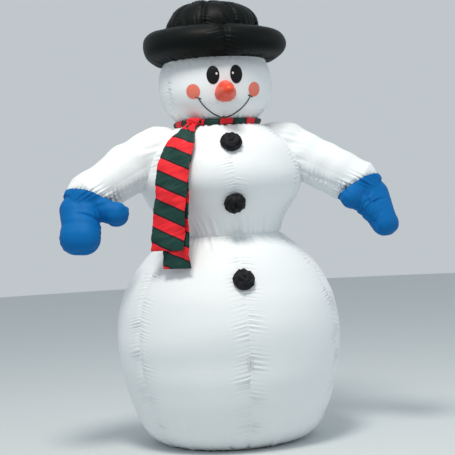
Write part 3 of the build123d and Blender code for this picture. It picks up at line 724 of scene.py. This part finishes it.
def sleeve(name, side, seed, around=300, rows=140):
    """A tube of cloth from inside the armhole to the cuff, with one seam low at its front and folds under the arm."""
    turn = full_turn(around // FINE)[None, :]
    spoke = np.cos(turn)[..., None] * ABOVE + np.sin(turn)[..., None] * AHEAD
    cuff_at = cuff_reach(spoke, SLEEVE_R)
    for _ in range(4):  # the cuff's edge lies in one plane although the sleeve tapers there
        cuff_r = SLEEVE_R - CUFF_TAPER * np.clip(cuff_at - ARM_LENGTH, 0, None)
        cuff_at = cuff_reach(spoke, cuff_r[..., None])
    share = np.linspace(0, 1, rows // FINE)[:, None]
    t = SLEEVE_START + share * (cuff_at - SLEEVE_START)
    to_cuff = cuff_at - t
    pucker, patch = ridge_field(0.024, seed), ridge_field(0.2, seed + 1, 1)
    pleats, cuff_pleats = pleat_field(15, seed + 2), pleat_field(30, seed + 3)
    broad, folds = ridge_field(0.30, seed + 4), ridge_field(0.075, seed + 5)
    off_seam = angle_apart(turn, SLEEVE_SEAM)
    across = np.abs(off_seam) * SLEEVE_R
    strength = (0.6 + 0.4 * patch(t, 0)) * fade(across, 0.07)
    under = np.clip(-np.cos(turn - 0.5), 0, 1) ** 0.7
    seam = -0.005 * dip(across, 0.014) + 0.0036 * strength * pucker(t + 0.25 * across, np.sign(off_seam))
    armpit_folds = 0.0075 * under * fade(t - 0.16, 0.17) * folds(t + 0.05 * np.cos(turn), turn)
    shoulder_pleats = 0.004 * fade(t - 0.10, 0.16) * pleats(turn + 1.4 * t)
    cuff_gather = 0.0035 * fade(to_cuff, 0.11) * cuff_pleats(turn) - 0.009 * dip(to_cuff, 0.014)
    out = seam + armpit_folds + shoulder_pleats + cuff_gather + 0.004 * broad(t, turn)
    flare = SHOULDER_FLARE * np.clip(np.cos(turn - 0.15), 0, 1) * np.clip(1 - (t / FLARE_END) ** 2, 0, 1)
    head_length = SLEEVE_FULL - SLEEVE_START + 0.004
    rounding = np.sqrt(1 - (np.clip(SLEEVE_FULL - t, 0, None) / head_length) ** 2)
    taper = CUFF_TAPER * np.clip(t - ARM_LENGTH, 0, None)
    r = (SLEEVE_R + flare) * rounding + out * np.clip(t / 0.05 + 1, 0, 1) - taper
    o = grid_object(name, mirrored(SHOULDER + t[..., None] * ARM + r[..., None] * spoke, side), wrap=True)
    if side < 0:
        o.data.flip_normals()
    return o


def rounded_rod(start, end, radius, end_radius=None, flat=False):
    """A rod with round ends, or flat ones, as one closed mesh to be fused later."""
    mesh = bmesh.new()
    end_radius = end_radius or radius
    axis = Vector(end) - Vector(start)
    half = axis.length / 2
    if flat:
        bmesh.ops.create_cone(mesh, cap_ends=True, segments=64, radius1=radius, radius2=end_radius, depth=2 * half)
    else:
        bmesh.ops.create_uvsphere(mesh, u_segments=40, v_segments=24, radius=radius)
        for v in mesh.verts:
            top = v.co.z > 1e-5
            v.co *= end_radius / radius if top else 1
            v.co.z += half if top else -half
    turned = axis.to_track_quat("Z", "Y").to_matrix().to_4x4()
    mesh.transform(Matrix.Translation((Vector(start) + Vector(end)) / 2) @ turned)
    return from_bmesh("rod", mesh)


def apply_modifiers(o):
    graph = bpy.context.evaluated_depsgraph_get()
    made = bpy.data.meshes.new_from_object(o.evaluated_get(graph))
    o.modifiers.clear()
    o.data = made


def vertex_values(o, what):
    values = np.zeros(len(o.data.vertices) * 3)
    o.data.vertices.foreach_get(what, values)
    return values.reshape(-1, 3)


def cut_at_cuff(o):
    cut = bmesh.new()
    cut.from_mesh(o.data)
    everything = cut.verts[:] + cut.edges[:] + cut.faces[:]
    bmesh.ops.bisect_plane(cut, geom=everything, plane_co=WRIST, plane_no=CUFF_NORMAL, clear_inner=True)
    cut.normal_update()
    cut.to_mesh(o.data)
    cut.free()


def mitten(name, side, seed):
    """A stuffed mitten fused from rounded rods, cut off at the cuff, and then wrinkled and creased."""
    hand_reach, thumb_reach, tip_r, thumb_r, web_r = HANDS[side]
    finger = WRIST + hand_reach
    across = FINGER_SPREAD * unit(np.cross(hand_reach, np.cross(thumb_reach, hand_reach)))
    at_tip = across * (tip_r / PALM_R) ** 2
    outer_palm = WRIST + 0.052 * ARM + 0.045 * CUFF_NORMAL
    rods = [
        rounded_rod(WRIST, finger + at_tip, PALM_R, tip_r),
        rounded_rod(WRIST - 0.8 * across, finger - at_tip, PALM_R, tip_r),
        rounded_rod(WRIST, WRIST + thumb_reach, thumb_r),
        rounded_rod(outer_palm, finger, PALM_R - 0.004, tip_r),
        rounded_rod(WRIST - 0.16 * ARM, WRIST, SLEEVE_R, flat=True),
        rounded_rod(WRIST - 0.001 * ARM, WRIST + 0.09 * ARM, SLEEVE_R, SLEEVE_R - 0.09 * CUFF_TAPER, flat=True),
    ]
    if web_r:
        rods.append(rounded_rod(WRIST + 0.85 * thumb_reach, finger, web_r, tip_r - 0.006))
    o = join(name, rods)
    fuse = o.modifiers.new("fuse", "REMESH")
    fuse.mode, fuse.voxel_size = "VOXEL", 0.0045 * FINE
    soften = o.modifiers.new("soften", "SMOOTH")
    soften.factor, soften.iterations = 0.6, 26 // FINE
    apply_modifiers(o)
    cut_at_cuff(o)

    co, normal = vertex_values(o, "co"), vertex_values(o, "normal")
    off = co - WRIST
    seam_side = unit(np.cross(hand_reach, thumb_reach))
    off_seam = off @ seam_side
    in_plane = off - np.outer(off_seam, seam_side)
    from_cuff = off @ CUFF_NORMAL
    along = off @ unit(hand_reach)
    turn = np.arctan2(off @ AHEAD, off @ ABOVE)
    crotch = 0.55 * thumb_reach + 0.40 * hand_reach
    near_crotch = fade(np.linalg.norm(off - crotch, axis=1), 0.13)
    crotch = crotch - seam_side * np.dot(crotch, seam_side)
    cuff_pleats, folds, long_folds = pleat_field(26, seed), ridge_field(0.042, seed + 1), ridge_field(0.085, seed + 2)
    pucker = ridge_field(0.020, seed + 6)
    cuff_gather = 0.0045 * fade(from_cuff, 0.09) * cuff_pleats(turn) - 0.003 * dip(from_cuff, 0.010)
    thumb_folds = 0.0030 * near_crotch * folds(along + 0.6 * np.abs(off_seam), turn)
    out = cuff_gather + thumb_folds + 0.0004 * long_folds(along, turn)
    for reach, depth in CREASES:  # they start where the thumb does
        line = reach - seam_side * np.dot(reach, seam_side)
        run = np.clip((in_plane - crotch) @ line / (line @ line), 0, 1)
        apart = np.linalg.norm(in_plane - crotch - np.outer(run, line), axis=1)
        out -= depth * (1 - 0.70 * run) * dip(apart, CREASE_WIDTH)
    out -= 0.0040 * dip(off_seam, SEAM_WIDTH) * (1 - fade(from_cuff, 0.05))
    out += 0.0012 * fade(off_seam, 0.045) * pucker(along - 0.5 * from_cuff, np.sign(off_seam))
    co = mirrored(co + normal * out[:, None], side)
    o.data.vertices.foreach_set("co", co.ravel())
    if side < 0:
        o.data.flip_normals()
    o.data.polygons.foreach_set("use_smooth", [True] * len(o.data.polygons))
    o.data.update()
    return o


for side, word, seed in ((1, "left", 61), (-1, "right", 83)):
    tube = sleeve(f"{word}_sleeve_cloth", side, seed)
    finish_in(tube, "white_nylon")
    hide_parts(f"{word}_sleeve")
    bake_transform(tube)
    hand = mitten(f"{word}_mitten_puff", side, seed + 20)
    fixed(hand, f"{word}_arm", "blue_nylon", f"{word}_mitten")


# ---------------------------------------------------------------- scarf

SCARF_AZIMUTH = -130.0
SCARF_Z, WRAP_R, WRAP_TUBE = 1.758, 0.232, 0.016
KNOT_R, KNOT_Z = 0.254, 1.764
KNOT_W, KNOT_D, KNOT_H = 0.084, 0.046, 0.040
KNOT_FULLNESS = 0.62  # towards 0 the knot is a block, at 1 an egg
TAIL_T, TAIL_TOP_W = 0.0021, 0.076
TAIL_TIED, TAIL_OPENS = 0.02, 0.20  # lengths over which a tail is held in by the knot and then opens out
TAIL_GATHER = 0.006
FRONT_PATH = [
    (0.262, 1.752), (0.300, 1.732), (0.352, 1.694), (0.402, 1.646), (0.440, 1.600), (0.472, 1.530), (0.493, 1.462),
    (0.505, 1.400), (0.522, 1.300), (0.538, 1.190), (0.552, 1.080),
]
REAR_PATH = [(r - 0.004 - 0.016 * min(1, (1.752 - z) / 0.12), z - 0.003) for r, z in FRONT_PATH[:-1]]
REAR_PATH += [(0.534, 1.080), (0.539, 0.985)]


def azimuth_frame(azimuth):
    """Outward, sideways and upward unit vectors at an azimuth in degrees."""
    a = math.radians(azimuth)
    return np.array([math.cos(a), math.sin(a), 0]), np.array([-math.sin(a), math.cos(a), 0]), np.array([0, 0, 1.0])


def scarf_wrap(name, around=360, sides=40, seed=71):
    """The band round the neck: a long narrow cloth rolled on itself, with folds that run along it."""
    a = full_turn(around // FINE)[:, None]
    b = full_turn(sides)[None, :]
    folds, lumps = ridge_field(1.1, seed), pleat_field(21, seed)
    r = WRAP_TUBE * (1 + 0.14 * np.sin(3 * b + 2 * np.sin(a)) + 0.10 * folds(b / 2, a)) - 0.0006 + 0.0012 * lumps(a)
    ring = WRAP_R + 0.80 * r * np.cos(b)
    height = SCARF_Z + 1.05 * r * np.sin(b) + 0.002 * np.sin(2 * a + 1)
    points = np.stack([ring * np.cos(a), ring * np.sin(a), height], axis=-1)
    uv = np.stack([0.010 * np.sin(b) + 0 * a, WRAP_R * a + 0 * b], axis=-1)
    o = grid_object(name, points, wrap=True, uv=uv)
    close_ring(o, len(a), sides, (0.0, WRAP_R * a[-1, 0]))
    return o


def close_ring(o, count, sides, end_uv):
    """Joins the last section of a ring to its first."""
    mesh = bmesh.new()
    mesh.from_mesh(o.data)
    mesh.verts.ensure_lookup_table()
    uv_layer = mesh.loops.layers.uv.active
    last = (count - 1) * sides
    for j in range(sides):
        k = (j + 1) % sides
        face = mesh.faces.new([mesh.verts[c] for c in (last + j, last + k, k, j)])
        face.smooth = True
        for loop in face.loops:
            loop[uv_layer].uv = end_uv
    mesh.to_mesh(o.data)
    mesh.free()


def knot(name, seed=79, rings=56, sides=88):
    """The tied knot: a full rounded block with folds drawn in from both of its ends."""
    out, aside, up = azimuth_frame(SCARF_AZIMUTH)
    v = np.linspace(-math.pi / 2, math.pi / 2, rings)[:, None]
    a = full_turn(sides)[None, :]

    def full(x):
        return np.sign(x) * np.abs(x) ** KNOT_FULLNESS

    swell = 1 + 0.055 * ridge_field(0.30, seed)((a + 0.6 * v) / math.pi, v)
    x = 0.5 * KNOT_W * full(np.sin(v)) + 0 * a
    y = 0.5 * KNOT_D * full(np.cos(v)) * full(np.cos(a)) * swell
    z = 0.5 * KNOT_H * full(np.cos(v)) * full(np.sin(a)) * swell
    points = (KNOT_R + y[..., None]) * out + (KNOT_Z + z[..., None]) * up + x[..., None] * aside
    return grid_object(name, points, wrap=True, uv=np.stack([0.4 * z, 0.9 * x + 0.035], axis=-1))


def tail(name, path, width, shift, curl, first_stripe, seed, across=36, step=0.006):
    """One hanging layer of the scarf, laid along a path of (radius, height) and rippled outwards only.

    Gives the piece, the size that it was cut to, and its flat area.
    """
    out, aside, up = azimuth_frame(SCARF_AZIMUTH)
    line = smooth_curve(path, step * FINE)
    tangent = unit(np.gradient(line, axis=0))
    outward = np.stack([-tangent[:, 1], tangent[:, 0]], axis=1)
    outward *= np.sign(outward[:, :1] + 1e-9)
    length = run_lengths(line)
    opening = np.clip((length - TAIL_TIED) / TAIL_OPENS, 0, 1)
    wide = TAIL_TOP_W + (width - TAIL_TOP_W) * opening**2 * (3 - 2 * opening)
    cut_length, area = float(length[-1]), float(np.sum(0.5 * (wide[1:] + wide[:-1]) * np.diff(length)))
    length, opening, wide = length[:, None], opening[:, None], wide[:, None]
    u = np.linspace(-1, 1, across)[None, :]
    low = length / cut_length
    ripple, crease = ridge_field(0.26, seed), ridge_field(0.055, seed + 1)
    lift = 0.005 * (1 + np.sin(2.6 * u + 1.1 + 1.6 * low)) * (0.35 + low)
    lift = lift + 0.004 * ripple(length, 1.5 * u) + 0.0016 * crease(length + 0.05 * u, 2 * u)
    lift = lift + curl * np.clip(np.abs(u) - 0.72, 0, 1) ** 1.5 * low + TAIL_GATHER * (1 - opening) * np.sin(9 * u)
    base = line[:, 0, None, None] * out + line[:, 1, None, None] * up
    push = outward[:, 0, None, None] * out + outward[:, 1, None, None] * up
    points = base + (0.5 * wide * u + shift * low**2)[..., None] * aside + lift[..., None] * push
    uv = np.stack([0.5 * wide * u, length + first_stripe + 0 * u], axis=-1)
    o = grid_object(name, points, uv=uv)
    thicken = o.modifiers.new("thickness", "SOLIDIFY")
    thicken.thickness, thicken.offset = TAIL_T, 0
    apply_modifiers(o)
    return o, (width, cut_length), area


fixed(scarf_wrap("scarf_wrap_cloth"), "figure", "scarf_stripes", "scarf_wrap", slot="scarf_red")
fixed(knot("scarf_knot_cloth"), "figure", "scarf_stripes", "scarf_knot", slot="scarf_red")

for word, path, width, shift, curl, first_stripe, seed in (
    ("front", FRONT_PATH, 0.196, -0.020, 0.03, 0.0, 91),
    ("rear", REAR_PATH, 0.160, 0.030, 0.02, 0.05, 97),
):
    cloth, flat, area = tail(f"scarf_{word}_tail_cloth", path, width, shift, curl, first_stripe, seed)
    finish_in(cloth, "scarf_stripes")
    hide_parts(f"scarf_{word}_tail")
    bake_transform(cloth)


# ---------------------------------------------------------------- CAD pieces that are shown as they are

for entry in frame["record"]["subparts"]:
    part = frame["nodes"][entry["node"]]
    if part.hide_render:
        continue
    part.data.materials.clear()
    part.data.materials.append(FINISHES[entry["material_slot"]])


# ---------------------------------------------------------------- floor, light and camera

FLOOR_R, FLOOR_DROP = 14.0, 0.002
CAMERA_YAW, CAMERA_PITCH, CAMERA_ROLL = 10.0, -1.0, 3.1
CAMERA_FROM = 7.0
CAMERA_Z = 1.300
CAMERA_LENS, CAMERA_SENSOR = 99.0, 36.0
CAMERA_ASIDE = 0.025


def floor_disc():
    mesh = bmesh.new()
    bmesh.ops.create_circle(mesh, cap_ends=True, segments=96, radius=FLOOR_R)
    o = from_bmesh("floor", mesh)
    o.location.z = -FLOOR_DROP
    plain("floor_white", (0.62, 0.66, 0.67), 0.9, grain=3.0, dents=0.0, speck=0.985)
    o.data.materials.append(FINISHES["floor_white"])
    return o


def area_light(name, location, target, size, power, colour):
    data = bpy.data.lights.new(name, "AREA")
    data.shape, data.size, data.energy, data.color = "DISK", size, power, colour
    o = linked(name, data)
    o.location = location
    o.rotation_mode = "QUATERNION"
    o.rotation_quaternion = (Vector(target) - Vector(location)).to_track_quat("-Z", "Y")


floor_disc()
area_light("key", (-1.0, -2.6, 6.4), (0, 0, 1.2), 1.8, 260, (1.0, 0.965, 0.90))
area_light("side", (5.0, -1.6, 2.6), (0, 0, 1.1), 2.0, 22, (0.92, 0.96, 1.0))

world = bpy.data.worlds.new("sky")
world.use_nodes = True
background = world.node_tree.nodes["Background"]
background.inputs["Color"].default_value = (0.88, 0.95, 1.0, 1)
background.inputs["Strength"].default_value = 0.60
bpy.context.scene.world = world
bpy.context.scene.view_settings.view_transform = "Standard"

yaw, pitch, roll = (math.radians(a) for a in (CAMERA_YAW, CAMERA_PITCH, CAMERA_ROLL))
ahead = Vector((math.sin(yaw) * math.cos(pitch), math.cos(yaw) * math.cos(pitch), math.sin(pitch)))
right = ahead.cross(Vector((0, 0, 1))).normalized()
level_up = right.cross(ahead)
leaning_up = level_up * math.cos(roll) + right * math.sin(roll)
leaning_right = ahead.cross(leaning_up)
camera = linked("camera", bpy.data.cameras.new("camera"))
camera.data.lens, camera.data.sensor_width = CAMERA_LENS, CAMERA_SENSOR
stand = Vector((-CAMERA_FROM * math.sin(yaw), -CAMERA_FROM * math.cos(yaw), CAMERA_Z)) + right * CAMERA_ASIDE
facing = Matrix((leaning_right, leaning_up, -ahead)).transposed().to_4x4()
camera.matrix_world = Matrix.Translation(stand) @ facing
bpy.context.scene.camera = camera
